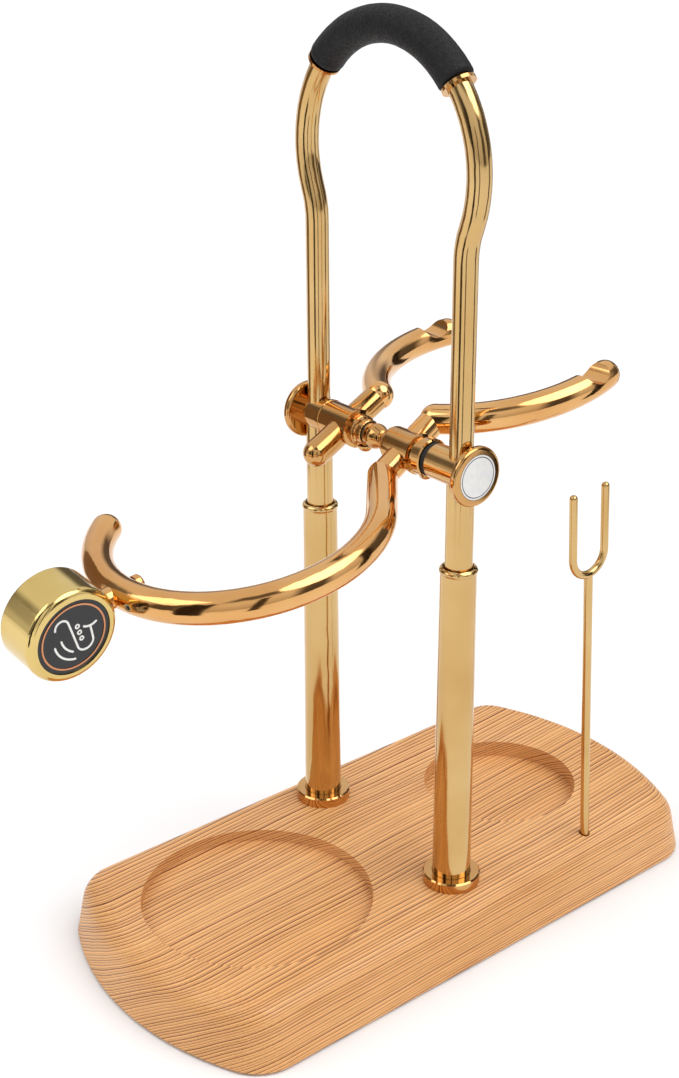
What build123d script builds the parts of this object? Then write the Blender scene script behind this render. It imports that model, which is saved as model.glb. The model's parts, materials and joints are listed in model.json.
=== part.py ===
from build123d import *
import math
import os

# Saxophone stand: a wood base with two telescopic posts, a crossbar of turned fittings that two
# arms pivot on, and a lyre-shaped loop with a padded grip over the top.
# Millimetres, +Z up. X runs along the crossbar, Y along the board, and the origin is on the
# underside, midway between the posts. The arms are drawn level, then tipped to their pitch.

# ---------------------------------------------------------------- driving sizes
post_offset_x = 50.2
crossbar_above_board = 216.3
running_gap = 0.1
axial_gap = 0.3

# board
pad_thickness = 1.5
pad_inset = 5.0
board_thickness = 30.0
board_offset_y = 2.5
board_half_width = 79.5
board_half_length = 163.0
board_end_radius = 150.0
board_corner_radius = 24.0
board_flare = 6.0
board_edge_radius = 14.0
near_recess_radius = 56.6
near_recess_y = -82.0
near_recess_depth = 6.5
far_recess_radius = 40.6
far_recess_y = 82.0
far_recess_depth = 9.0

# posts
tube_foot_diameter = 19.0
tube_top_diameter = 17.0
tube_bore = 14.4
lip_below_crossbar = 46.5
lip_height = 3.2
lip_rise = 0.55
flange_diameter = 28.3
flange_height = 5.4
inner_tube_diameter = 13.0
inner_tube_wall = 1.0
inner_tube_overlap = 112.0
bush_length = 16.0
bush_top_drop = 4.0
glide_height = 10.0
plug_height = 18.0
bolt_diameter = 8.0
bolt_head_diameter = 13.0
bolt_head_height = 8.0
bolt_engagement = 14.0
bolt_hole_clearance = 0.6
counterbore_diameter = 19.0
counterbore_depth = 10.5
washer_diameter = 17.0
washer_thickness = 1.5

# loop
loop_wall = 1.2
loop_head_bulge = 6.8
loop_head_above_board = 346.5
loop_neck_radius = 40.0
loop_leg_engagement = 14.0
grip_diameter = 16.6
grip_half_angle = 49.0
grip_end_round = 1.4
grip_ring_diameter = 15.6
grip_ring_width = 1.4

# crossbar
barrel_diameter = 16.5
barrel_beyond_post = 6.8
left_barrel_inner_x = -42.5
right_barrel_inner_x = 34.5
cap_diameter = 28.0
cap_thickness = 4.2
cap_spigot_length = 1.0
cap_round = 1.7
inlay_diameter = 21.0
inlay_thickness = 1.4
spigot_diameter = 9.8
sleeve_diameter = 17.2
left_sleeve_end_x = -21.5
left_collar_end_x = -12.6
right_sleeve_start_x = 2.0
right_sleeve_end_x = 22.2
right_flange_end_x = 31.5
left_washer_diameter = 10.4
left_washer_thickness = 0.8
right_washer_diameter = 16.0
link_ring_diameter = 10.6
link_bead_diameter = 12.2
link_neck_diameter = 7.2
link_bead_end_x = -2.2

# arms
shank_diameter = 13.0
shank_slope = 21.4
left_stub_reach = 21.5
left_back_reach = 22.3
right_back_reach = 19.9
right_front_reach = 17.7
left_shank_x = -28.7
right_shank_x = 14.4
left_pitch = 6.1
right_pitch = 10.6
arm_tube_diameter = 14.3
arm_wall = 1.6
back_arc_radius = 71.1
back_start_heading = 60.8
back_end_heading = -11.8
notch_radius = 8.0
notch_depth = 5.6
notch_from_tip = 9.5
front_arc_radius = 63.8
front_arc_centre_x = -3.2
front_arc_centre_reach = 86.3
front_tip_angle = -143.4
clamp_head_radius = 3.9
left_clamp_drop = 6.4
right_clamp_drop = 8.2
clamp_shaft_diameter = 3.0
left_clamp_x = -16.2
right_clamp_x = 25.4

# medallion
medallion_diameter = 44.0
medallion_depth = 22.0
medallion_round = 3.2
medallion_wall = 2.2
medallion_angle = 0.5
medallion_raise = 0.5
medallion_tilt = 8.8
medallion_standoff = 2.5
spacer_diameter = 10.0
face_diameter = 35.4
face_sink = 0.6
face_thickness = 1.4
ring_diameter = 30.6
ring_width = 0.8
relief_height = 0.3
emblem_line = 0.9
back_plate_thickness = 1.6
back_plate_diameter = 39.0
screw_diameter = 4.0
screw_head_diameter = 8.4
screw_head_height = 3.6
nut_diameter = 7.5
nut_height = 3.2
grub_angle = 11.0
grub_diameter = 4.0
grub_depth = 3.0

# fork
fork_x = 64.5
fork_y = 80.3
fork_lean = 3.2
fork_stem_diameter = 4.4
fork_prong_diameter = 4.0
fork_prong_spacing = 21.5
fork_bend_height = 149.5
fork_prong_length = 32.0
socket_depth = 18.0
socket_diameter = 5.8
socket_sink = 1.4

# ---------------------------------------------------------------- derived places
board_bottom = pad_thickness
loop_tube_diameter = inner_tube_diameter - 2 * inner_tube_wall
loop_head_radius = post_offset_x + loop_head_bulge
board_top = board_bottom + board_thickness
barrel_outer_x = post_offset_x + barrel_beyond_post
tube_height = crossbar_above_board - lip_below_crossbar
solid_tip_length = notch_from_tip + notch_radius + arm_wall
crossbar_z = board_top + crossbar_above_board
lip_top = board_top + tube_height
inner_tube_bottom = lip_top - inner_tube_overlap
leg_bottom = crossbar_z - barrel_diameter / 2 - loop_leg_engagement
sides = {"left": -1, "right": 1}


def cylinder_x(radius, start_x, end_x):
    """A cylinder along the crossbar axis."""
    length = abs(end_x - start_x)
    return Pos((start_x + end_x) / 2, 0, crossbar_z) * Rot(0, 90, 0) * Cylinder(radius, length)


def cylinder_z(radius, bottom, top, x=0, y=0):
    return Pos(x, y, (bottom + top) / 2) * Cylinder(radius, top - bottom)


def turned_x(profile):
    """Revolve (x, radius) points about the crossbar axis. The outline closes along the axis."""
    corners = [(profile[0][0], 0)] + profile + [(profile[-1][0], 0)]
    face = make_face(Polyline(*[(x, radius) for x, radius in corners], close=True))
    placed = Plane.XZ * face
    solid = revolve(placed, Axis.X)
    return Pos(0, 0, crossbar_z) * solid


def pitched(shape, pitch):
    """Tip a shape that was drawn level about the crossbar axis."""
    return Pos(0, 0, crossbar_z) * Rot(pitch, 0, 0) * Pos(0, 0, -crossbar_z) * shape


# ---------------------------------------------------------------- board
def board_outline(half_width, half_length, z):
    """Straight sides, ends that bow outward, rounded corners."""
    end_y = half_length
    corner_y = end_y - board_end_radius + math.sqrt(board_end_radius**2 - half_width**2)
    near_arc = ThreePointArc((-half_width, -corner_y), (0, -end_y), (half_width, -corner_y))
    far_arc = ThreePointArc((half_width, corner_y), (0, end_y), (-half_width, corner_y))
    right_side = Line((half_width, -corner_y), (half_width, corner_y))
    left_side = Line((-half_width, corner_y), (-half_width, -corner_y))
    face = make_face([near_arc, right_side, far_arc, left_side])
    rounded = fillet(face.vertices(), board_corner_radius)
    return Pos(0, board_offset_y, z) * rounded


def board():
    lower = board_outline(board_half_width, board_half_length, board_bottom)
    upper = Pos(0, 0, board_thickness) * offset(lower, amount=-board_flare)
    body = loft([lower, upper], ruled=True)
    body = fillet(body.edges().group_by(Axis.Z)[-1], board_edge_radius)
    near_floor = board_top - near_recess_depth
    far_floor = board_top - far_recess_depth
    body -= cylinder_z(near_recess_radius, near_floor, board_top + 5, y=near_recess_y)
    body -= cylinder_z(far_recess_radius, far_floor, board_top + 5, y=far_recess_y)
    hole_radius = (bolt_diameter + bolt_hole_clearance) / 2
    for side in sides.values():
        x = side * post_offset_x
        body -= cylinder_z(hole_radius, board_bottom - 1, board_top + 1, x)
        body -= cylinder_z(counterbore_diameter / 2, board_bottom - 1, board_bottom + counterbore_depth, x)
    body -= fork_frame() * cylinder_z(socket_diameter / 2, -socket_depth, 5)
    return body


def underside_pad():
    outline = board_outline(board_half_width - pad_inset, board_half_length - pad_inset, 0)
    return extrude(outline, amount=pad_thickness)


# ---------------------------------------------------------------- posts
def lower_tube(x):
    foot_radius = tube_foot_diameter / 2
    top_radius = tube_top_diameter / 2
    bore_radius = tube_bore / 2
    lip_radius = top_radius + lip_rise
    lip_start = lip_top - lip_height
    outer = Polyline((bore_radius, board_top), (foot_radius, board_top), (top_radius, lip_start))
    lip_middle = lip_top - lip_height / 2
    lip_low = Spline((top_radius, lip_start), (lip_radius, lip_middle), (bore_radius + 0.5, lip_top))
    inner = Polyline((bore_radius + 0.5, lip_top), (bore_radius, lip_top - 0.5), (bore_radius, board_top))
    section = Plane.XZ * make_face([outer, lip_low, inner])
    return Pos(x, 0, 0) * revolve(section, Axis.Z)


def post_flange(x):
    ring = cylinder_z(flange_diameter / 2, board_top, board_top + flange_height)
    ring = chamfer(ring.edges().group_by(Axis.Z)[-1], 0.7)
    ring -= cylinder_z(tube_foot_diameter / 2 + 0.15, board_top - 1, board_top + flange_height + 1)
    return Pos(x, 0, 0) * ring


def post_plug(x):
    plug = cylinder_z(tube_bore / 2, board_top, board_top + plug_height, x)
    return plug - cylinder_z(bolt_diameter / 2, board_top - 1, board_top + bolt_engagement, x)


def post_bolt(x):
    washer_top = board_bottom + counterbore_depth
    head_top = washer_top - washer_thickness
    head_bottom = head_top - bolt_head_height
    head = cylinder_z(bolt_head_diameter / 2, head_bottom, head_top, x)
    head = chamfer(head.edges().group_by(Axis.Z)[0], 0.6)
    socket = extrude(Pos(x, 0, head_bottom) * RegularPolygon(3.4, 6), amount=4)
    shank = cylinder_z(bolt_diameter / 2, head_top, board_top + bolt_engagement, x)
    return head - socket + shank


def post_washer(x):
    top = board_bottom + counterbore_depth
    disc = cylinder_z(washer_diameter / 2, top - washer_thickness, top, x)
    return disc - cylinder_z(bolt_diameter / 2 + 0.2, top - 5, top + 1, x)


def guide_bush(x):
    top = lip_top - bush_top_drop
    ring = cylinder_z(tube_bore / 2, top - bush_length, top, x)
    return ring - cylinder_z(inner_tube_diameter / 2 + running_gap, top - 50, top + 1, x)


def glide_ring(x):
    ring = cylinder_z(tube_bore / 2 - running_gap, inner_tube_bottom, inner_tube_bottom + glide_height, x)
    return ring - cylinder_z(inner_tube_diameter / 2, inner_tube_bottom - 1, inner_tube_bottom + 50, x)


def upper_tube(x):
    tube = cylinder_z(inner_tube_diameter / 2, inner_tube_bottom, crossbar_z, x)
    tube -= cylinder_z(loop_tube_diameter / 2, inner_tube_bottom - 1, crossbar_z + 1, x)
    return tube - cylinder_x(barrel_diameter / 2, x - 20, x + 20)


# ---------------------------------------------------------------- loop and grip
def loop_head_centre():
    return (0, board_top + loop_head_above_board)


def loop_path():
    """Two straight legs, two reverse bends and one round head, all tangent, in the XZ plane."""
    head_x, head_z = loop_head_centre()
    bend_x = post_offset_x + loop_neck_radius
    reach = loop_head_radius + loop_neck_radius
    bend_z = head_z - math.sqrt(reach**2 - bend_x**2)
    swing = math.degrees(math.atan2(head_z - bend_z, bend_x))
    right_leg = Line((post_offset_x, leg_bottom), (post_offset_x, bend_z))
    right_bend = CenterArc((bend_x, bend_z), loop_neck_radius, 180, -swing)
    head = CenterArc((head_x, head_z), loop_head_radius, -swing, 180 + 2 * swing)
    left_bend = CenterArc((-bend_x, bend_z), loop_neck_radius, swing, -swing)
    left_leg = Line((-post_offset_x, bend_z), (-post_offset_x, leg_bottom))
    return Plane.XZ * Wire([right_leg, right_bend, head, left_bend, left_leg])


def lyre_loop():
    path = loop_path()
    start = Plane(origin=(post_offset_x, 0, leg_bottom), z_dir=(0, 0, 1))
    outer = Circle(loop_tube_diameter / 2)
    bore = Circle(loop_tube_diameter / 2 - loop_wall)
    return sweep(start * (outer - bore), path=path)


def head_arc_tube(outer_radius, start_angle, end_angle):
    """A tube that hugs the round head of the loop between two angles."""
    head_x, head_z = loop_head_centre()
    arc = Plane.XZ * CenterArc((head_x, head_z), loop_head_radius, start_angle, end_angle - start_angle)
    section = Plane(origin=arc @ 0, z_dir=arc % 0) * (Circle(outer_radius) - Circle(loop_tube_diameter / 2))
    return sweep(section, path=arc)


def grip_sleeve():
    sleeve = head_arc_tube(grip_diameter / 2, 90 - grip_half_angle, 90 + grip_half_angle)
    circles = sleeve.edges().filter_by(GeomType.CIRCLE)
    end_rims = circles.filter_by(lambda rim: abs(rim.radius - grip_diameter / 2) < 0.01)
    return fillet(end_rims, grip_end_round)


def grip_rings():
    width = math.degrees(grip_ring_width / loop_head_radius)
    low = head_arc_tube(grip_ring_diameter / 2, 90 - grip_half_angle - width, 90 - grip_half_angle)
    high = head_arc_tube(grip_ring_diameter / 2, 90 + grip_half_angle, 90 + grip_half_angle + width)
    return [low, high]


# ---------------------------------------------------------------- crossbar
def barrel(side):
    inner_x = right_barrel_inner_x if side > 0 else left_barrel_inner_x
    depth = right_spigot_depth() if side > 0 else left_spigot_depth()
    body = cylinder_x(barrel_diameter / 2, inner_x, side * barrel_outer_x)
    body += cylinder_x(spigot_diameter / 2, inner_x - side * depth, inner_x)
    body -= cylinder_x(cap_spigot_diameter() / 2, side * (barrel_outer_x - cap_spigot_length), side * 100)
    leg_hole = cylinder_z(loop_tube_diameter / 2, leg_bottom, crossbar_z + 50, side * post_offset_x)
    return body - leg_hole


def cap_spigot_diameter():
    return barrel_diameter - 4.0


def end_cap(side):
    outer_x = side * (barrel_outer_x + cap_thickness)
    disc = cylinder_x(cap_diameter / 2, side * barrel_outer_x, outer_x)
    disc = fillet(disc.edges().filter_by(GeomType.CIRCLE), cap_round)
    spigot_end = side * (barrel_outer_x - cap_spigot_length)
    disc += cylinder_x(cap_spigot_diameter() / 2, spigot_end, side * barrel_outer_x)
    return disc - cylinder_x(inlay_diameter / 2, outer_x - side * inlay_thickness, outer_x + side)


def inlay(side):
    outer_x = side * (barrel_outer_x + cap_thickness)
    disc = cylinder_x(inlay_diameter / 2, outer_x - side * inlay_thickness, outer_x)
    return disc - cylinder_x(inlay_diameter / 2 - 0.9, outer_x - side * 0.25, outer_x + side) + cylinder_x(
        inlay_diameter / 2 - 1.3, outer_x - side * 0.25, outer_x)


def left_spigot_depth():
    return 3.5


def right_spigot_depth():
    return right_barrel_inner_x - (right_shank_x + shank_diameter / 2 + 1.5)


def shank_bar(x, front_reach, rear_reach):
    """A straight bar with ball ends through the crossbar axis, sloping down to the front."""
    radius = shank_diameter / 2
    length = front_reach + rear_reach
    middle = (rear_reach - front_reach) / 2
    bar = Pos(0, middle, 0) * Rot(90, 0, 0) * Cylinder(radius, length)
    bar += Pos(0, -front_reach, 0) * Sphere(radius)
    bar += Pos(0, rear_reach, 0) * Sphere(radius)
    return Pos(x, 0, crossbar_z) * Rot(shank_slope, 0, 0) * bar


def cross_hole(x):
    radius = shank_diameter / 2
    return Pos(x, 0, crossbar_z) * Rot(shank_slope, 0, 0) * Rot(90, 0, 0) * Cylinder(radius, 60)


def clamp_hole(x, head_drop):
    """A clear hole up to the spigot and a flat seat for the screw head."""
    hole = cylinder_z(clamp_shaft_diameter / 2 + running_gap, crossbar_z - 30, crossbar_z, x)
    return hole + cylinder_z(clamp_head_radius + running_gap, crossbar_z - 30, crossbar_z - head_drop, x)


def left_sleeve():
    radius = sleeve_diameter / 2
    start = left_barrel_inner_x + axial_gap
    profile = [
        (start, radius - 0.3), (start, radius + 0.25), (start + 1.2, radius + 0.25),
        (start + 1.5, radius), (left_sleeve_end_x - 0.6, radius), (left_sleeve_end_x - 0.2, radius + 0.7),
        (left_sleeve_end_x + 1.0, radius + 0.7), (left_sleeve_end_x + 1.4, radius - 1.2),
        (left_sleeve_end_x + 4.0, radius - 1.2), (left_sleeve_end_x + 4.3, radius - 1.6),
        (left_sleeve_end_x + 5.4, radius - 1.6), (left_sleeve_end_x + 5.8, radius - 2.3),
        (left_collar_end_x - 0.4, radius - 2.3), (left_collar_end_x, radius - 2.7)]
    body = turned_x(profile)
    body -= cylinder_x(spigot_diameter / 2 + running_gap, start - 1, start + left_spigot_depth())
    body -= cylinder_x(spigot_diameter / 2, link_left_x(), left_collar_end_x + 1)
    body -= cross_hole(left_shank_x)
    return body - clamp_hole(left_clamp_x, left_clamp_drop)


def right_sleeve():
    radius = sleeve_diameter / 2
    start = right_sleeve_start_x
    profile = [
        (start, radius - 3.6), (start + 0.5, radius - 2.2), (start + 1.6, radius - 0.9),
        (start + 3.2, radius - 0.15), (start + 4.4, radius), (right_sleeve_end_x - 0.4, radius),
        (right_sleeve_end_x, radius + 1.1), (right_sleeve_end_x + 1.3, radius + 1.1),
        (right_sleeve_end_x + 1.7, radius - 0.3), (right_sleeve_end_x + 4.6, radius - 0.3),
        (right_sleeve_end_x + 5.0, radius + 0.7), (right_flange_end_x - 0.5, radius + 0.7),
        (right_flange_end_x, radius)]
    body = turned_x(profile)
    body -= cylinder_x(link_neck_diameter / 2 + running_gap, start - 1, link_right_x())
    bore_end = right_barrel_inner_x - right_spigot_depth() - axial_gap
    body -= cylinder_x(spigot_diameter / 2 + running_gap, bore_end, right_flange_end_x + 1)
    body -= cross_hole(right_shank_x)
    return body - clamp_hole(right_clamp_x, right_clamp_drop)


def link_left_x():
    return left_shank_x + shank_diameter / 2 + 2.0


def link_right_x():
    return right_shank_x - shank_diameter / 2 - 0.5


def link_ring_start_x():
    return left_collar_end_x + left_washer_thickness


def centre_link():
    """The turned piece between the two sleeves: a spigot, a thin ring, a bead and a neck."""
    ring_x = link_ring_start_x()
    bead_radius = link_bead_diameter / 2
    neck_radius = link_neck_diameter / 2
    profile = [
        (link_left_x(), spigot_diameter / 2), (ring_x, spigot_diameter / 2),
        (ring_x, link_ring_diameter / 2), (ring_x + 1.1, link_ring_diameter / 2),
        (ring_x + 1.4, link_ring_diameter / 2 - 0.6), (ring_x + 2.4, bead_radius - 0.5),
        (ring_x + 3.8, bead_radius), (ring_x + 5.4, bead_radius), (ring_x + 7.0, bead_radius - 0.6),
        (link_bead_end_x, bead_radius - 1.8), (link_bead_end_x + 0.5, neck_radius),
        (link_right_x() - axial_gap, neck_radius)]
    return turned_x(profile)


def fibre_washer(outer_diameter, start_x, end_x):
    ring = cylinder_x(outer_diameter / 2, start_x, end_x)
    return ring - cylinder_x(spigot_diameter / 2, start_x - 1, end_x + 1)


def clamp_screw(x, head_drop):
    """A dome-headed screw that comes up from below and bears on the spigot inside."""
    shaft_top = crossbar_z - spigot_diameter / 2 - running_gap
    head_top = crossbar_z - head_drop - running_gap
    shaft = cylinder_z(clamp_shaft_diameter / 2, head_top, shaft_top, x)
    ball = Pos(x, 0, head_top) * Sphere(clamp_head_radius)
    dome = ball & cylinder_z(clamp_head_radius, head_top - clamp_head_radius, head_top, x)
    return shaft + dome


# ---------------------------------------------------------------- arms
def shank_end_height(reach):
    """How far the end of a shank lies above or below the crossbar axis while its arm is level."""
    return reach * math.sin(math.radians(shank_slope))


def shank_end_distance(reach):
    """How far the end of a shank lies behind or in front of the crossbar axis."""
    return reach * math.cos(math.radians(shank_slope))


def back_reach(side):
    return right_back_reach if side > 0 else left_back_reach


def tube_along(path, height):
    """A tube along a level path with two round closed ends, solid near its tip."""
    level = Plane.XY.offset(height) * path
    section = Plane(origin=level @ 0, z_dir=level % 0)
    outer = sweep(section * Circle(arm_tube_diameter / 2), path=level)
    outer += Pos(*(level @ 0)) * Sphere(arm_tube_diameter / 2)
    outer += Pos(*(level @ 1)) * Sphere(arm_tube_diameter / 2)
    bore = sweep(section * Circle(arm_tube_diameter / 2 - arm_wall), path=level)
    bore -= Pos(*(level @ 1)) * Sphere(solid_tip_length)
    return outer - bore


def back_path(x, side):
    """One arc: it leaves outward from the shank and ends pointing back and slightly inward."""
    heading = math.radians(back_start_heading)
    start_y = shank_end_distance(back_reach(side))
    centre_x = x - side * back_arc_radius * math.cos(heading)
    centre = (centre_x, start_y + back_arc_radius * math.sin(heading))
    start_angle = -back_start_heading
    sweep_angle = back_start_heading - back_end_heading
    if side < 0:
        start_angle = 180 + back_start_heading
        sweep_angle = -sweep_angle
    return CenterArc(centre, back_arc_radius, start_angle, sweep_angle)


def back_tube(x, side):
    path = back_path(x, side)
    height = crossbar_z + shank_end_height(back_reach(side))
    tube = tube_along(path, height)
    notch_point = path @ (1 - notch_from_tip / path.length)
    notch_tangent = path % (1 - notch_from_tip / path.length)
    turn = math.degrees(math.atan2(notch_tangent.Y, notch_tangent.X))
    notch_z = height + arm_tube_diameter / 2 + notch_radius - notch_depth
    notch = Pos(notch_point.X, notch_point.Y, notch_z) * Rot(0, 0, turn) * Rot(90, 0, 0)
    return tube - notch * Cylinder(notch_radius, 40)


def front_path():
    """A straight run from the shank, tangent to one big arc that turns back across the front."""
    start = Vector(right_shank_x, -shank_end_distance(right_front_reach))
    centre = Vector(front_arc_centre_x, -front_arc_centre_reach)
    offset = start - centre
    bearing = math.degrees(math.atan2(offset.Y, offset.X))
    touch_angle = bearing - math.degrees(math.acos(front_arc_radius / offset.length))
    touch = math.radians(touch_angle)
    touch_point = centre + Vector(math.cos(touch), math.sin(touch)) * front_arc_radius
    run = Line(start, touch_point)
    arc = CenterArc(centre, front_arc_radius, touch_angle, front_tip_angle - touch_angle)
    return Wire([run, arc])


def front_height():
    return crossbar_z - shank_end_height(right_front_reach)


def front_tube():
    tube = tube_along(front_path(), front_height())
    tube -= medallion_frame() * Cylinder(screw_diameter / 2, 60)
    return tube - grub_frame() * Cylinder(grub_diameter / 2, 2 * grub_depth)


def arc_frame(angle, lift=0.0):
    """A frame on the front arc, its Z pointing outward from the arc, lifted out of the arc's plane."""
    turn = math.radians(angle)
    rise = math.radians(lift)
    level_outward = Vector(math.sin(turn), -math.cos(turn), 0)
    outward = level_outward * math.cos(rise) + Vector(0, 0, math.sin(rise))
    centre = Vector(front_arc_centre_x, -front_arc_centre_reach, front_height())
    origin = centre + level_outward * front_arc_radius
    return Plane(origin=origin, x_dir=(math.cos(turn), math.sin(turn), 0), z_dir=outward)


def medallion_frame():
    return arc_frame(medallion_angle, medallion_raise)


def grub_frame():
    frame = arc_frame(grub_angle)
    return frame.offset(arm_tube_diameter / 2)


def grub_screw():
    plug = cylinder_z(grub_diameter / 2, -grub_depth, -0.5)
    socket = extrude(Pos(0, 0, -2.5) * RegularPolygon(1.2, 6), amount=5)
    return grub_frame() * (plug - socket)


# ---------------------------------------------------------------- medallion
# Drawn with its axis along +X and its centre at the origin, then hung on the screw.
def axial(radius, start, end):
    return Pos((start + end) / 2, 0, 0) * Rot(0, 90, 0) * Cylinder(radius, end - start)


def hung(shape):
    """Carry a medallion piece to the front of the arm. Its side wall faces the arm."""
    frame = medallion_frame()
    centre = frame.origin + frame.z_dir * medallion_centre_distance()
    place = Plane(origin=centre, x_dir=frame.x_dir, z_dir=frame.y_dir)
    return place * Rot(0, medallion_tilt, 0) * shape


def medallion_centre_distance():
    return arm_tube_diameter / 2 + medallion_standoff + medallion_diameter / 2


def medallion_housing():
    radius = medallion_diameter / 2
    half = medallion_depth / 2
    can = axial(radius, -half, half)
    can = fillet(can.edges().filter_by(GeomType.CIRCLE).sort_by(Axis.X)[-1], medallion_round)
    can = fillet(can.edges().filter_by(GeomType.CIRCLE).sort_by(Axis.X)[0], 1.2)
    can -= axial(face_diameter / 2, half - face_sink - face_thickness, half + 1)
    front_wall = half - face_sink - face_thickness - medallion_wall
    can -= axial(radius - medallion_wall, -half + back_plate_thickness + 1.0, front_wall)
    can -= axial(back_plate_diameter / 2 - 1.2, -half - 1, front_wall)
    can -= axial(back_plate_diameter / 2, -half - 1, -half + back_plate_thickness)
    return hung(can - screw_bore())


def screw_bore():
    radius = screw_diameter / 2 + running_gap
    return Pos(0, medallion_diameter / 2, 0) * Rot(90, 0, 0) * Cylinder(radius, 20)


def medallion_back_plate():
    half = medallion_depth / 2
    return hung(axial(back_plate_diameter / 2, -half, -half + back_plate_thickness))


def medallion_face():
    half = medallion_depth / 2
    disc = axial(face_diameter / 2, half - face_sink - face_thickness, half - face_sink)
    return hung(disc)


def medallion_ring():
    start = medallion_depth / 2 - face_sink
    ring = axial(ring_diameter / 2 + ring_width / 2, start, start + relief_height)
    return hung(ring - axial(ring_diameter / 2 - ring_width / 2, start - 1, start + 1))


def medallion_emblem():
    """A plain pictogram of a curved horn with round keys, as raised lines."""
    start = medallion_depth / 2 - face_sink
    crook = ThreePointArc((-8.0, 7.4), (-4.4, 10.6), (-1.4, 7.6))
    body = Line((-1.4, 7.6), (1.0, -5.2))
    bow = ThreePointArc((1.0, -5.2), (5.4, -9.0), (8.8, -4.6))
    bell = Line((8.8, -4.6), (8.4, 1.4))
    marks = line_mark([crook, body, bow, bell])
    marks += line_mark([ThreePointArc((5.4, 2.6), (8.4, 1.5), (11.4, 2.2))])
    marks += line_mark([ThreePointArc((-9.4, -1.0), (-6.6, -7.6), (-1.0, -11.2))])
    marks += line_mark([ThreePointArc((-6.0, 0.6), (-4.4, -4.0), (-1.6, -7.0))])
    for index in range(3):
        key = Pos(2.4 + 0.55 * index, 4.2 - 3.4 * index)
        marks += key * (Circle(1.2) - Circle(0.55))
    raised = extrude(marks, amount=relief_height)
    return hung(Plane(origin=(start, 0, 0), x_dir=(0, 1, 0), z_dir=(1, 0, 0)) * raised)


def line_mark(edges):
    """A line of even width along joined edges, as a flat face."""
    return make_face(offset(Wire(edges), amount=emblem_line / 2))


def medallion_spacer():
    """The collar on the arm, hollowed to sit on the tube, with a flat end that the can turns on."""
    flat_end = arm_tube_diameter / 2 + medallion_standoff - axial_gap
    collar = cylinder_z(spacer_diameter / 2, flat_end - 5, flat_end)
    collar -= cylinder_z(screw_diameter / 2, flat_end - 10, flat_end + 5)
    return medallion_frame() * collar - front_envelope(0)


def front_envelope(growth):
    """The outer shape of the front arm as one solid, grown all round."""
    level = Plane.XY.offset(front_height()) * front_path()
    section = Plane(origin=level @ 0, z_dir=level % 0)
    return sweep(section * Circle(arm_tube_diameter / 2 + growth), path=level)


def medallion_screw():
    """Head on the inner side of the arm, shaft through the arm and into the can."""
    frame = medallion_frame()
    inner = -arm_tube_diameter / 2 + 0.5
    reach = arm_tube_diameter / 2 + medallion_standoff + medallion_wall + nut_height + 1.5
    shaft = Pos(0, 0, (inner + reach) / 2) * Cylinder(screw_diameter / 2, reach - inner)
    head = Pos(0, 0, inner - screw_head_height / 2) * Cylinder(screw_head_diameter / 2, screw_head_height)
    head = fillet(head.edges().group_by(Axis.Z)[0], 1.6)
    drilled_arm = front_envelope(0) - frame * Cylinder(screw_diameter / 2, 60)
    return frame * (shaft + head) - drilled_arm


def medallion_nut():
    frame = medallion_frame()
    start = arm_tube_diameter / 2 + medallion_standoff + medallion_wall + 0.6
    nut = extrude(Pos(0, 0, start) * RegularPolygon(nut_diameter / 2, 6), amount=nut_height)
    return frame * (nut - Cylinder(screw_diameter / 2, 100))


# ---------------------------------------------------------------- fork
def fork_frame():
    """Stands on the board top where the stem enters, leaning toward the front."""
    return Pos(fork_x, fork_y, board_top) * Rot(fork_lean, 0, 0)


def rest_fork():
    stem_radius = fork_stem_diameter / 2
    bend_radius = fork_prong_spacing / 2
    stem = cylinder_z(stem_radius, -socket_depth + 1.0, fork_bend_height)
    bend_z = fork_bend_height + bend_radius
    half = CenterArc((0, bend_z), bend_radius, 180, 180)
    left = Line((-bend_radius, bend_z + fork_prong_length), (-bend_radius, bend_z))
    right = Line((bend_radius, bend_z), (bend_radius, bend_z + fork_prong_length))
    path = Plane.YZ * Wire([left, half, right])
    section = Plane(origin=path @ 0, z_dir=path % 0) * Circle(fork_prong_diameter / 2)
    prongs = sweep(section, path=path)
    for end in (path @ 0, path @ 1):
        prongs += Pos(*end) * Sphere(fork_prong_diameter / 2)
    return fork_frame() * (stem + prongs)


def fork_socket():
    liner = cylinder_z(socket_diameter / 2, -socket_depth, -socket_sink)
    bore = cylinder_z(fork_stem_diameter / 2 + running_gap, -socket_depth + 0.8, 5)
    return fork_frame() * (liner - bore)


# ---------------------------------------------------------------- write every node
def write(name, shape):
    solids = shape if isinstance(shape, list) else [shape]
    pieces = [solid for piece in solids for solid in piece.solids()]
    compound = pieces[0] if len(pieces) == 1 else Compound(children=pieces)
    compound.label = name
    export_step(compound, f"parts/{name}.step")


def both_sides(make):
    return [make(side * post_offset_x) for side in sides.values()]


os.makedirs("parts", exist_ok=True)

write("base_board", board())
write("underside_pad", underside_pad())
write("post_bolts", both_sides(post_bolt))
write("bolt_washers", both_sides(post_washer))
write("post_plugs", both_sides(post_plug))
write("guide_bushes", both_sides(guide_bush))
write("glide_rings", both_sides(glide_ring))
for name, side in sides.items():
    x = side * post_offset_x
    write(f"post_flange_{name}", post_flange(x))
    write(f"lower_tube_{name}", lower_tube(x))
    write(f"upper_tube_{name}", upper_tube(x))
    write(f"barrel_{name}", barrel(side))
    write(f"end_cap_{name}", end_cap(side))
    write(f"inlay_{name}", inlay(side))

write("lyre_loop", lyre_loop())
write("grip_sleeve", grip_sleeve())
write("grip_rings", grip_rings())

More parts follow.
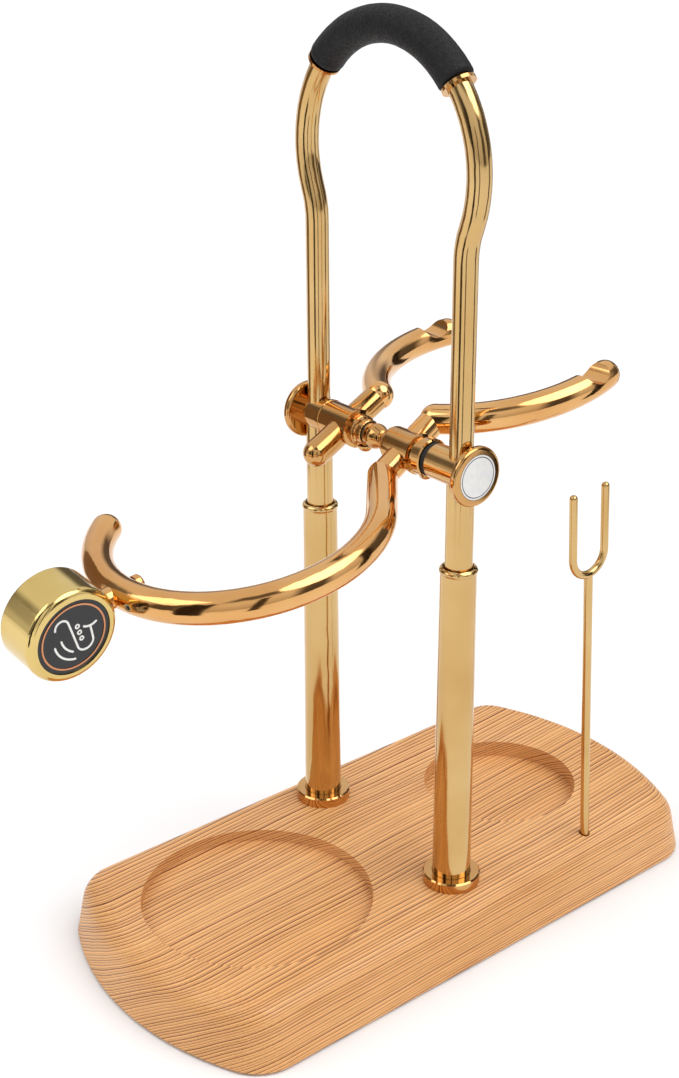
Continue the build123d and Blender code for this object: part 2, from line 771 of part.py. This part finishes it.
left_bar = shank_bar(left_shank_x, left_stub_reach, left_back_reach)
right_bar = shank_bar(right_shank_x, right_front_reach, right_back_reach)
left_arm = {
    "left_sleeve": left_sleeve(),
    "left_shank": left_bar,
    "left_back_arm": back_tube(left_shank_x, -1) - left_bar,
    "centre_link": centre_link(),
    "left_washer": fibre_washer(left_washer_diameter, left_collar_end_x, link_ring_start_x()),
    "left_clamp_screw": clamp_screw(left_clamp_x, left_clamp_drop),
}
right_arm = {
    "right_sleeve": right_sleeve(),
    "right_shank": right_bar,
    "right_back_arm": back_tube(right_shank_x, 1) - right_bar,
    "front_arm": front_tube() - right_bar,
    "right_clamp_screw": clamp_screw(right_clamp_x, right_clamp_drop),
    "grub_screw": grub_screw(),
    "medallion_screw": medallion_screw(),
    "medallion_nut": medallion_nut(),
    "medallion_housing": medallion_housing(),
    "medallion_back_plate": medallion_back_plate(),
    "medallion_face": medallion_face(),
    "medallion_ring": medallion_ring(),
    "medallion_emblem": medallion_emblem(),
    "medallion_spacer": medallion_spacer(),
}
for name, shape in left_arm.items():
    write(name, pitched(shape, left_pitch))
for name, shape in right_arm.items():
    write(name, pitched(shape, right_pitch))

washer_start = right_flange_end_x + axial_gap
write("right_washer", fibre_washer(right_washer_diameter, washer_start, right_barrel_inner_x))
write("rest_fork", rest_fork())
write("fork_socket", fork_socket())
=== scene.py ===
import json
import math

import bmesh
import bpy
from mathutils import Matrix, Vector, noise


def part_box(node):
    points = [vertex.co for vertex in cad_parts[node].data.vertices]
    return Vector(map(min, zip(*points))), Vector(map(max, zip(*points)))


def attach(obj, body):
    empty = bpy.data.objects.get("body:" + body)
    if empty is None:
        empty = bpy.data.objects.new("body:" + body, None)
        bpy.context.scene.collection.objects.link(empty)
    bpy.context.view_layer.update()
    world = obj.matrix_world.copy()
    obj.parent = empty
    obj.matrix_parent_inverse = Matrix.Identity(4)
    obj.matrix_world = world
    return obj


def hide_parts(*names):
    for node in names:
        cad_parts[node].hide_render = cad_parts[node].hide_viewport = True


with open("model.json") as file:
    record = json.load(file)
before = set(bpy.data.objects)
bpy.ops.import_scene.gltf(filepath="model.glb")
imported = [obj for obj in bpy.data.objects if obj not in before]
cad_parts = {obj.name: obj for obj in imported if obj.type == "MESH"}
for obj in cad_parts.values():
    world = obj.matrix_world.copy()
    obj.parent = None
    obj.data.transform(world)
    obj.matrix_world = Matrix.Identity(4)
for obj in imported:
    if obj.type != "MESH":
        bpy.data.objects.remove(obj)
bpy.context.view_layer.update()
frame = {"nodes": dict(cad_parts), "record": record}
nodes = frame["nodes"]
MM = 0.001


def rgb(red, green, blue):
    """An 8-bit screen colour as the linear values that a shader takes."""
    shares = [value / 255 for value in (red, green, blue)]
    linear = [((v + 0.055) / 1.055) ** 2.4 if v > 10 / 255 else v / 12.92 for v in shares]
    return (*linear, 1.0)


# ---------------------------------------------------------------- camera
FOCAL_PIXELS, IMAGE_HEIGHT = 1732.98, 1078
SENSOR = 36
YAW, PITCH, ROLL = math.radians(50.7387), math.radians(23.8379), math.radians(-0.3398)
PAN = TILT = math.atan2(-1.0, FOCAL_PIXELS)
CAMERA_X, CAMERA_Y, CAMERA_ABOVE_BOARD = 0.570344, -0.495578, 0.499524
board_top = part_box("base_board")[1].z


def add_camera():
    yaw, pitch = YAW + PAN, PITCH + TILT
    forward = Vector((-math.sin(yaw) * math.cos(pitch), math.cos(yaw) * math.cos(pitch), -math.sin(pitch)))
    level = Vector((math.cos(yaw), math.sin(yaw), 0))
    upright = level.cross(forward)
    right = math.cos(ROLL) * level + math.sin(ROLL) * upright
    up = math.cos(ROLL) * upright - math.sin(ROLL) * level
    data = bpy.data.cameras.new("camera")
    data.sensor_fit = "VERTICAL"
    data.sensor_height = SENSOR
    data.lens = FOCAL_PIXELS / IMAGE_HEIGHT * SENSOR
    data.clip_start = 0.02
    data.clip_end = 60
    camera = bpy.data.objects.new("camera", data)
    place = Matrix((right, up, -forward)).transposed().to_4x4()
    place.translation = Vector((CAMERA_X, CAMERA_Y, board_top + CAMERA_ABOVE_BOARD))
    camera.matrix_world = place
    bpy.context.scene.collection.objects.link(camera)
    bpy.context.scene.camera = camera


add_camera()
bpy.context.scene.view_settings.view_transform = "Standard"


# ---------------------------------------------------------------- node helpers
class Graph:
    """A small wrapper that makes and links shader nodes."""

    def __init__(self, tree):
        self.tree = tree
        self.tree.nodes.clear()

    def add(self, kind, inputs=(), **settings):
        node = self.tree.nodes.new(kind)
        for key, value in settings.items():
            setattr(node, key, value)
        for key, value in dict(inputs).items():
            socket = node.inputs[key]
            if isinstance(value, bpy.types.NodeSocket):
                self.tree.links.new(value, socket)
            else:
                socket.default_value = value
        return node

    def math(self, operation, first, second=0.0, clamp=False):
        inputs = {0: first, 1: second}
        return self.add("ShaderNodeMath", inputs, operation=operation, use_clamp=clamp).outputs[0]

    def coords(self, scale=(1, 1, 1), offset=(0, 0, 0), turn=(0, 0, 0)):
        source = self.add("ShaderNodeTexCoord").outputs["Object"]
        mapping = {"Vector": source, "Scale": scale, "Location": offset, "Rotation": turn}
        return self.add("ShaderNodeMapping", mapping).outputs[0]

    def noise(self, vector, scale, detail=3.0, rough=0.5, distortion=0.0):
        inputs = {
            "Vector": vector, "Scale": scale, "Detail": detail, "Roughness": rough, "Distortion": distortion}
        return self.add("ShaderNodeTexNoise", inputs).outputs[0]

    def ramp(self, factor, stops, ease="LINEAR"):
        node = self.add("ShaderNodeValToRGB", {0: factor})
        node.color_ramp.interpolation = ease
        while len(node.color_ramp.elements) < len(stops):
            node.color_ramp.elements.new(0.5)
        for element, (place, colour) in zip(node.color_ramp.elements, stops):
            element.position = place
            element.color = colour if not isinstance(colour, float) else (colour, colour, colour, 1)
        return node.outputs[0]

    def range(self, value, low, high, new_low, new_high):
        inputs = {0: value, 1: low, 2: high, 3: new_low, 4: new_high}
        return self.add("ShaderNodeMapRange", inputs, clamp=True).outputs[0]

    def mix(self, factor, first, second, blend="MIX"):
        inputs = {0: factor, 6: first, 7: second}
        return self.add("ShaderNodeMix", inputs, data_type="RGBA", blend_type=blend).outputs[2]

    def bump(self, height, distance, strength=1.0, normal=None):
        inputs = {"Height": height, "Distance": distance, "Strength": strength}
        if normal is not None:
            inputs["Normal"] = normal
        return self.add("ShaderNodeBump", inputs).outputs[0]

    def surface(self, inputs):
        shader = self.add("ShaderNodeBsdfPrincipled", inputs)
        output = self.add("ShaderNodeOutputMaterial")
        self.tree.links.new(shader.outputs[0], output.inputs[0])


def new_material(name):
    material = bpy.data.materials.new(name)
    material.use_nodes = True
    return material, Graph(material.node_tree)


# ---------------------------------------------------------------- materials
def metal(name, colour, deep, rough=0.09, scratch=0.05, tone_scale=18.0):
    """Polished, lacquered metal: a slow drift of tone, fine polishing lines, faint pits."""
    material, g = new_material(name)
    place = g.coords()
    drift = g.noise(place, tone_scale, 3.0, 0.55)
    tint = g.mix(g.range(drift, 0.3, 0.7, 0.0, 1.0), colour, deep)
    specks = g.noise(place, 2600.0, 2.0, 0.6)
    tint = g.mix(g.range(specks, 0.70, 0.80, 0.0, 0.35), tint, deep)
    lines = g.noise(g.coords(scale=(1.0, 1.0, 0.03)), 2400.0, 3.0, 0.6)
    smears = g.noise(place, 75.0, 4.0, 0.6)
    dull = g.range(smears, 0.35, 0.75, rough, rough + scratch)
    roughness = g.math("ADD", dull, g.range(lines, 0.5, 0.8, 0.0, 0.04))
    ripple = g.bump(g.noise(place, 55.0, 2.0, 0.4), 0.00012, 0.35)
    pits = g.bump(specks, 0.00001, 0.35, ripple)
    g.surface({
        "Base Color": tint, "Metallic": 1.0, "Roughness": roughness, "Normal": pits,
        "Coat Weight": 0.25, "Coat Roughness": 0.05})
    return material


def wood(name):
    """Softwood sawn with its rings on edge: fine lines along the board and round its sides."""
    material, g = new_material(name)
    slow = g.noise(g.coords(scale=(0.7, 0.30, 0.9)), 26.0, 2.0, 0.45)
    wave = g.noise(g.coords(scale=(0.5, 0.5, 1.6), offset=(3.1, 1.7, 0.4)), 17.0, 1.5, 0.4)
    split = g.add("ShaderNodeSeparateXYZ", {0: g.coords()})
    across, along, height = split.outputs
    tilt = g.math("MULTIPLY", height, -1.6)
    depth = g.math("ADD", across, tilt)
    depth = g.math("ADD", depth, g.math("MULTIPLY", along, 0.045))
    depth = g.math("ADD", depth, g.math("MULTIPLY", g.math("SUBTRACT", slow, 0.5), 0.0075))
    depth = g.math("ADD", depth, g.math("MULTIPLY", g.math("SUBTRACT", wave, 0.5), 0.0042))
    uneven = g.noise(g.add("ShaderNodeCombineXYZ", {0: depth}).outputs[0], 95.0, 1.0, 0.5)
    rings = g.math("MULTIPLY", g.math("ADD", depth, g.math("MULTIPLY", uneven, 0.006)), 395.0)
    phase = g.math("FRACT", rings)
    count = g.math("FLOOR", rings)
    per_ring = g.add("ShaderNodeTexWhiteNoise", {"W": count}, noise_dimensions="1D").outputs[0]
    line = g.ramp(phase, [(0.0, 0.0), (0.40, 0.05), (0.66, 0.45), (0.80, 1.0), (0.92, 1.0), (1.0, 0.0)])
    fibre = g.noise(g.coords(scale=(1.0, 0.035, 1.0)), 1500.0, 3.0, 0.6)
    minor = g.math("FRACT", g.math("MULTIPLY", rings, 2.0))
    minor_line = g.ramp(minor, [(0.0, 0.0), (0.45, 0.05), (0.8, 0.55), (0.92, 0.5), (1.0, 0.0)])
    line = g.math("MAXIMUM", line, minor_line)
    strength = g.math("MULTIPLY", line, g.range(per_ring, 0.0, 1.0, 0.55, 1.0))
    strength = g.math("MULTIPLY", strength, g.range(fibre, 0.25, 0.75, 0.85, 1.25))
    patch = g.noise(g.coords(scale=(1.0, 0.35, 1.0)), 22.0, 3.0, 0.5)
    early = g.mix(g.range(patch, 0.3, 0.7, 0.0, 1.0), rgb(254, 198, 134), rgb(244, 182, 114))
    early = g.mix(g.range(fibre, 0.4, 0.8, 0.0, 0.35), early, rgb(206, 136, 70))
    late = g.mix(g.range(patch, 0.3, 0.7, 0.0, 1.0), rgb(112, 42, 6), rgb(92, 32, 4))
    colour = g.mix(strength, early, late)
    pores = g.noise(g.coords(scale=(1.0, 0.02, 1.0)), 3800.0, 2.0, 0.5)
    colour = g.mix(g.range(pores, 0.62, 0.75, 0.0, 0.35), colour, rgb(150, 88, 46))
    relief = g.bump(line, 0.00010, 0.5)
    relief = g.bump(fibre, 0.00005, 0.6, relief)
    g.surface({
        "Base Color": colour, "Roughness": g.range(strength, 0.0, 1.0, 0.50, 0.38), "Normal": relief,
        "Coat Weight": 0.12, "Coat Roughness": 0.25, "Specular IOR Level": 0.35})
    return material


def leather(name, colour):
    """Fine pebbled black leather, with painted shade darkening the low creases between the pebbles."""
    material, g = new_material(name)
    place = g.coords()
    cell_inputs = {"Vector": place, "Scale": 1150.0, "Randomness": 1.0}
    cells = g.add("ShaderNodeTexVoronoi", cell_inputs, feature="SMOOTH_F1")
    pebble = g.math("SUBTRACT", 1.0, cells.outputs["Distance"])
    crease = g.noise(place, 420.0, 4.0, 0.65)
    height = g.math("ADD", g.math("MULTIPLY", pebble, 0.8), g.math("MULTIPLY", crease, 0.9))
    worn = g.noise(place, 45.0, 3.0, 0.5)
    # Painted shade: the colour goes near black where the pebbled surface is low, in the creases between
    # pebbles.
    tint = g.mix(g.range(height, 0.55, 1.25, 0.0, 1.0), rgb(6, 6, 7), colour)
    tint = g.mix(g.range(worn, 0.5, 0.8, 0.0, 0.2), tint, rgb(40, 40, 42))
    g.surface({
        "Base Color": tint, "Roughness": g.range(height, 0.6, 1.3, 0.70, 0.48),
        "Normal": g.bump(height, 0.00035, 0.9), "Specular IOR Level": 0.30})
    return material


def moulded(name, colour, second, rough, grain=900.0, depth=0.00004):
    """Plastic, fibre, rubber or enamel with a faint grain."""
    material, g = new_material(name)
    place = g.coords()
    grain_noise = g.noise(place, grain, 3.0, 0.55)
    drift = g.noise(place, 60.0, 3.0, 0.5)
    g.surface({
        "Base Color": g.mix(g.range(drift, 0.3, 0.7, 0.0, 1.0), colour, second),
        "Roughness": g.range(grain_noise, 0.3, 0.7, rough, rough + 0.12),
        "Normal": g.bump(grain_noise, depth, 0.6)})
    return material


def pearl(name):
    """Pearl-white shell: soft clouds of cool and warm white under a clear coat."""
    material, g = new_material(name)
    place = g.coords()
    clouds = g.noise(place, 150.0, 4.0, 0.6, 1.2)
    tint = g.ramp(clouds, [(0.3, rgb(218, 219, 220)), (0.5, rgb(229, 227, 222)), (0.7, rgb(212, 213, 217))])
    g.surface({
        "Base Color": tint, "Roughness": g.range(clouds, 0.3, 0.7, 0.18, 0.30), "Coat Weight": 0.6,
        "Coat Roughness": 0.04, "Normal": g.bump(clouds, 0.00002, 0.4)})
    return material


def brushed(name, colour):
    material, g = new_material(name)
    turned = g.noise(g.coords(scale=(1.0, 1.0, 0.05)), 1600.0, 3.0, 0.6)
    g.surface({
        "Base Color": colour, "Metallic": 1.0, "Roughness": g.range(turned, 0.3, 0.7, 0.25, 0.42),
        "Normal": g.bump(turned, 0.00002, 0.5)})
    return material


pale_gold = metal("pale_gold", rgb(214, 180, 122), rgb(200, 160, 98), rough=0.10)
deep_gold = metal("deep_gold", rgb(232, 182, 118), rgb(216, 158, 92), rough=0.08)
hub_gold = metal("hub_gold", rgb(214, 168, 106), rgb(190, 134, 70), rough=0.06)
yellow_gold = metal("yellow_gold", rgb(226, 200, 130), rgb(210, 176, 98), rough=0.10)
finishes = {
    "wood": wood("board_wood"),
    "pale_brass": pale_gold,
    "gold_brass": deep_gold,
    "grip_skin": leather("grip_leather", rgb(24, 24, 26)),
    "pearl": pearl("pearl_inlay"),
    "black_fibre": moulded("fibre", rgb(20, 20, 20), rgb(30, 28, 27), 0.55),
    "black_enamel": moulded("enamel", rgb(17, 18, 21), rgb(24, 25, 29), 0.14, grain=1400.0, depth=0.00001),
    "copper_line": metal("copper_line", rgb(214, 150, 108), rgb(190, 120, 80), rough=0.22),
    "white_line": moulded("white_line", rgb(244, 244, 240), rgb(232, 232, 228), 0.3, depth=0.00001),
    "steel": brushed("zinc_steel", rgb(190, 192, 196)),
    "pad_rubber": moulded("pad_rubber", rgb(28, 28, 29), rgb(38, 38, 39), 0.75, grain=500.0, depth=0.0001),
    "guide_plastic": moulded("guide_plastic", rgb(222, 220, 212), rgb(210, 207, 198), 0.4),
}
special = {
    "hub_gold": ["left_sleeve", "centre_link", "right_sleeve", "barrel_left", "barrel_right", "end_cap_left",
                 "end_cap_right", "left_shank", "left_clamp_screw", "right_clamp_screw", "grip_rings",
                 "post_flange_left", "post_flange_right"],
    "yellow_gold": ["medallion_housing", "medallion_back_plate"],
    "pale_gold": ["rest_fork", "fork_socket"],
}


def shade_smoothly(mesh, sharpest=32.0):
    """Shading normals averaged over the faces that meet at a point at a shallow angle."""
    limit = math.cos(math.radians(sharpest))
    meeting = {}
    for polygon in mesh.polygons:
        for vertex in polygon.vertices:
            key = tuple(round(value, 7) for value in mesh.vertices[vertex].co)
            meeting.setdefault(key, []).append((polygon.normal.copy(), polygon.area))
    normals = []
    for polygon in mesh.polygons:
        polygon.use_smooth = True
        for vertex in polygon.vertices:
            key = tuple(round(value, 7) for value in mesh.vertices[vertex].co)
            total = Vector()
            for normal, area in meeting[key]:
                if normal.dot(polygon.normal) > limit:
                    total += normal * area
            normals.append(total.normalized() if total.length > 0 else polygon.normal)
    mesh.normals_split_custom_set(normals)


for row in frame["record"]["subparts"]:
    target = nodes[row["node"]].data
    shade_smoothly(target)
    target.materials.clear()
    target.materials.append(finishes[row["material_slot"]])
for name, members in special.items():
    for member in members:
        nodes[member].data.materials[0] = bpy.data.materials[name]


# ---------------------------------------------------------------- detailed pieces
def object_from(name, mesh, material):
    piece = bpy.data.objects.new(name, mesh)
    bpy.context.scene.collection.objects.link(piece)
    mesh.materials.append(material)
    for polygon in mesh.polygons:
        polygon.use_smooth = True
    return piece


def swept(name, rings, material, closed_ends=True):
    """A mesh tube through rings of points, each ring a list of the same length."""
    bm = bmesh.new()
    rows = [[bm.verts.new(point) for point in ring] for ring in rings]
    size = len(rows[0])
    for first, second in zip(rows, rows[1:]):
        for index in range(size):
            after = (index + 1) % size
            bm.faces.new((first[index], first[after], second[after], second[index]))
    if closed_ends:
        bm.faces.new(list(reversed(rows[0])))
        bm.faces.new(rows[-1])
    bmesh.ops.recalc_face_normals(bm, faces=bm.faces)
    mesh = bpy.data.meshes.new(name)
    bm.to_mesh(mesh)
    bm.free()
    return object_from(name, mesh, material)


loop_low, loop_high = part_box("lyre_loop")
grip_low, grip_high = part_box("grip_sleeve")
GRIP_RADIUS = (grip_high.y - grip_low.y) / 2
TUBE_RADIUS = (loop_high.y - loop_low.y) / 2
HEAD_RADIUS = (loop_high.x - loop_low.x) / 2 - TUBE_RADIUS
HEAD_Z = grip_high.z - GRIP_RADIUS - HEAD_RADIUS


def grip_half_angle():
    """The angle from the top at which the sleeve's outer rim reaches its greatest width."""
    return math.asin(min(1.0, grip_high.x / (HEAD_RADIUS + GRIP_RADIUS)))


def grip_point(angle, radius, turn):
    """A point on the grip: angle along the arc from its top, then radius and turn in the section."""
    out = HEAD_RADIUS + radius * math.cos(turn)
    return Vector((out * math.sin(angle), radius * math.sin(turn), HEAD_Z + out * math.cos(angle)))


def build_grip():
    """A padded leather sleeve: soft ends, slight hand-worn waves and a butted seam along its back."""
    half = grip_half_angle()
    seam_turn = math.radians(62)
    end_round = 2.0 * MM
    steps, around = 150, 96
    rings = []
    length = half * HEAD_RADIUS
    for step in range(steps + 1):
        share = step / steps * 2 - 1
        angle = math.copysign(abs(share) ** 0.94, share) * half
        inward = length - abs(angle) * HEAD_RADIUS
        drop = 0.0
        if inward < end_round:
            drop = end_round - math.sqrt(max(0.0, end_round**2 - (end_round - inward) ** 2))
        ring = []
        for index in range(around):
            turn = 2 * math.pi * index / around
            gap = math.atan2(math.sin(turn - seam_turn), math.cos(turn - seam_turn))
            groove = 0.42 * MM * math.exp(-((gap * GRIP_RADIUS / (0.5 * MM)) ** 2))
            place = grip_point(angle, GRIP_RADIUS, turn)
            swell = 0.16 * MM * noise.noise(place * 55) + 0.06 * MM * noise.noise(place * 190)
            ring.append(grip_point(angle, GRIP_RADIUS - 0.1 * MM + swell - groove - drop, turn))
        rings.append(ring)
    turns = [2 * math.pi * index / around for index in range(around)]
    inner = [[grip_point(side * half, TUBE_RADIUS + 0.05 * MM, turn) for turn in turns] for side in (-1, 1)]
    sleeve = swept("grip_leather", [inner[0], *rings, inner[1]], finishes["grip_skin"], closed_ends=False)
    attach(sleeve, "mast")
    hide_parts("grip_sleeve")
    return seam_turn, half


def build_stitches(seam_turn, half):
    """Short slanted threads over the seam."""
    bm = bmesh.new()
    pitch = 2.6 * MM
    count = int(2 * half * HEAD_RADIUS / pitch) - 2
    for index in range(count):
        angle = (index - (count - 1) / 2) * pitch / HEAD_RADIUS
        points = []
        for step in range(7):
            share = step / 6 - 0.5
            lift = 0.10 * MM * math.cos(share * math.pi) - 0.12 * MM
            turn = seam_turn + share * 2.0 * MM / GRIP_RADIUS
            points.append(grip_point(angle + share * 0.7 * MM / HEAD_RADIUS, GRIP_RADIUS + lift, turn))
        add_thread(bm, points, 0.13 * MM)
    mesh = bpy.data.meshes.new("grip_stitches")
    bm.to_mesh(mesh)
    bm.free()
    stitches = object_from("grip_stitches", mesh, finishes["black_fibre"])
    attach(stitches, "mast")


def add_thread(bm, points, radius, sides=6):
    """A thin round thread through points, added to a bmesh."""
    rows = []
    for index, point in enumerate(points):
        ahead = points[min(index + 1, len(points) - 1)] - points[max(index - 1, 0)]
        ahead.normalize()
        across = ahead.cross(Vector((0.31, 0.87, 0.38))).normalized()
        above = ahead.cross(across)
        taper = radius * (0.55 if index in (0, len(points) - 1) else 1.0)
        rows.append([bm.verts.new(point + (across * math.cos(a) + above * math.sin(a)) * taper)
                     for a in (2 * math.pi * side / sides for side in range(sides))])
    for first, second in zip(rows, rows[1:]):
        for side in range(sides):
            after = (side + 1) % sides
            bm.faces.new((first[side], first[after], second[after], second[side]))
    bm.faces.new(list(reversed(rows[0])))
    bm.faces.new(rows[-1])


RIM_LINE_INSET, RIM_LINE_RADIUS = 0.02 * MM, 0.12 * MM
GROOVE_LINE_INSET, GROOVE_LINE_RADIUS = 1.1 * MM, 0.20 * MM
LINE_SINK = 0.08 * MM


def build_inlay_ring(side):
    """A fine dark line round the rim of a pearl inlay, and a wider one in the groove inside it."""
    low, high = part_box("inlay_" + side)
    outward = 1 if side == "right" else -1
    face = high.x if outward > 0 else low.x
    radius = (high.z - low.z) / 2
    middle = (low + high) / 2
    bm = bmesh.new()
    lines = ((RIM_LINE_INSET, RIM_LINE_RADIUS), (GROOVE_LINE_INSET, GROOVE_LINE_RADIUS))
    for inset, wire in lines:
        ring_radius = radius - inset
        rows = []
        count, sides = 96, 8
        for index in range(count):
            angle = 2 * math.pi * index / count
            spoke = Vector((0, math.cos(angle), math.sin(angle)))
            centre = Vector((face - outward * LINE_SINK, middle.y, middle.z)) + spoke * ring_radius
            rows.append([bm.verts.new(centre + (spoke * math.cos(a) + Vector((1, 0, 0)) * math.sin(a)) * wire)
                         for a in (2 * math.pi * side_index / sides for side_index in range(sides))])
        for index in range(count):
            first, second = rows[index], rows[(index + 1) % count]
            for step in range(sides):
                after = (step + 1) % sides
                bm.faces.new((first[step], first[after], second[after], second[step]))
    bmesh.ops.recalc_face_normals(bm, faces=bm.faces)
    mesh = bpy.data.meshes.new("inlay_line_" + side)
    bm.to_mesh(mesh)
    bm.free()
    ring = object_from("inlay_line_" + side, mesh, finishes["black_fibre"])
    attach(ring, "mast")


seam, half_angle = build_grip()
build_stitches(seam, half_angle)
for inlay_side in ("left", "right"):
    build_inlay_ring(inlay_side)


# ---------------------------------------------------------------- floor, world and lights
def add_floor():
    mesh = bpy.data.meshes.new("floor")
    size = 14.0
    corners = [(-size, -size, 0), (size, -size, 0), (size, size, 0), (-size, size, 0)]
    mesh.from_pydata(corners, [], [(0, 1, 2, 3)])
    floor = bpy.data.objects.new("floor", mesh)
    bpy.context.scene.collection.objects.link(floor)
    material, g = new_material("floor_paper")
    tooth = g.noise(g.coords(), 300.0, 3.0, 0.5)
    g.surface({
        "Base Color": (0.93, 0.93, 0.93, 1), "Roughness": g.range(tooth, 0.3, 0.7, 0.7, 0.85),
        "Specular IOR Level": 0.1})
    mesh.materials.append(material)


# Each flag: azimuth, half width, soft edge, lowest and highest elevation, blur (degrees), darkness.
FLAGS = [
    (-41, 18, 12, 50, 64, 8, 0.85),
    (-148, 11, 10, 14, 34, 8, 0.80),
    (8, 8, 9, -20, 30, 12, 0.90),
    (-96, 7, 8, -20, 34, 12, 0.88),
    (72, 12, 10, -20, 30, 12, 0.88),
    (130, 14, 12, -20, 20, 10, 0.85),
]


def add_world():
    """A white studio with dark flags, for the streaks that polished metal shows."""
    world = bpy.data.worlds.new("studio")
    bpy.context.scene.world = world
    world.use_nodes = True
    g = Graph(world.node_tree)
    direction = g.add("ShaderNodeTexCoord").outputs["Generated"]
    x, y, z = g.add("ShaderNodeSeparateXYZ", {0: direction}).outputs
    azimuth = g.math("ARCTAN2", y, x)
    elevation = g.math("ARCSINE", z)

    def flag(centre, half_width, softness, low, high, blur, darkness):
        gap = g.math("SUBTRACT", azimuth, math.radians(centre))
        wrapped = g.math("ARCCOSINE", g.math("COSINE", gap))
        side = g.range(wrapped, math.radians(half_width), math.radians(half_width + softness), 1.0, 0.0)
        bottom = g.range(elevation, math.radians(low - blur), math.radians(low), 0.0, 1.0)
        top = g.range(elevation, math.radians(high), math.radians(high + blur), 1.0, 0.0)
        shade = g.math("MULTIPLY", g.math("MULTIPLY", side, bottom), top)
        return g.math("MULTIPLY", shade, darkness)

    shade = flag(*FLAGS[0])
    for row in FLAGS[1:]:
        shade = g.math("MAXIMUM", shade, flag(*row))
    sky = g.mix(g.range(z, -0.1, 0.5, 0.0, 1.0), (0.62, 0.59, 0.56, 1), (0.98, 0.98, 1.0, 1))
    colour = g.mix(shade, sky, (0.035, 0.026, 0.02, 1))
    background = g.add("ShaderNodeBackground", {"Color": colour, "Strength": 0.92})
    output = g.add("ShaderNodeOutputWorld")
    world.node_tree.links.new(background.outputs[0], output.inputs[0])


def add_area(name, place, aim, width, height, power, colour=(1, 1, 1)):
    data = bpy.data.lights.new(name, "AREA")
    data.shape = "RECTANGLE"
    data.size = width
    data.size_y = height
    data.energy = power
    data.color = colour
    light = bpy.data.objects.new(name, data)
    light.location = place
    light.rotation_euler = (Vector(aim) - Vector(place)).to_track_quat("-Z", "Y").to_euler()
    bpy.context.scene.collection.objects.link(light)


def add_card(name, azimuth, width, low, high, distance=0.56, shade=0.02):
    """A dark studio card that only polished surfaces see. It stands on an arc round the object."""
    steps = 6
    bm = bmesh.new()
    rows = []
    for step in range(steps + 1):
        angle = math.radians(azimuth + (step / steps - 0.5) * width)
        foot = Vector((math.cos(angle), math.sin(angle), 0)) * distance
        rows.append([bm.verts.new(foot + Vector((0, 0, height))) for height in (low, high)])
    for first, second in zip(rows, rows[1:]):
        bm.faces.new((first[0], second[0], second[1], first[1]))
    mesh = bpy.data.meshes.new(name)
    bm.to_mesh(mesh)
    bm.free()
    card = bpy.data.objects.new(name, mesh)
    bpy.context.scene.collection.objects.link(card)
    material, g = new_material(name)
    weave = g.noise(g.coords(), 400.0, 2.0, 0.5)
    g.surface({
        "Base Color": (shade, shade * 0.7, shade * 0.45, 1), "Roughness": g.range(weave, 0.3, 0.7, 0.85, 1.0)})
    mesh.materials.append(material)
    card.visible_camera = False
    card.visible_diffuse = False
    card.visible_shadow = False
    card.visible_transmission = False


def add_sun(name, direction, strength, softness):
    data = bpy.data.lights.new(name, "SUN")
    data.energy = strength
    data.angle = math.radians(softness)
    sun = bpy.data.objects.new(name, data)
    sun.rotation_euler = Vector(direction).to_track_quat("Z", "Y").to_euler()
    bpy.context.scene.collection.objects.link(sun)


add_floor()
add_world()
add_sun("soft_sun", (0.9, 0.45, 1.5), 1.35, 50)
add_area("key_softbox", (-0.6, -1.5, 1.7), (0, 0, 0.2), 1.2, 1.2, 8)
add_card("card_front_left", -76, 16, 0.02, 0.62)
add_card("card_front_right", 46, 12, 0.02, 0.62)
add_card("card_left", -150, 30, 0.02, 0.50, shade=0.22)
add_card("card_right", 96, 12, 0.02, 0.55)
add_card("card_front", -38, 7, 0.02, 0.60, shade=0.06)
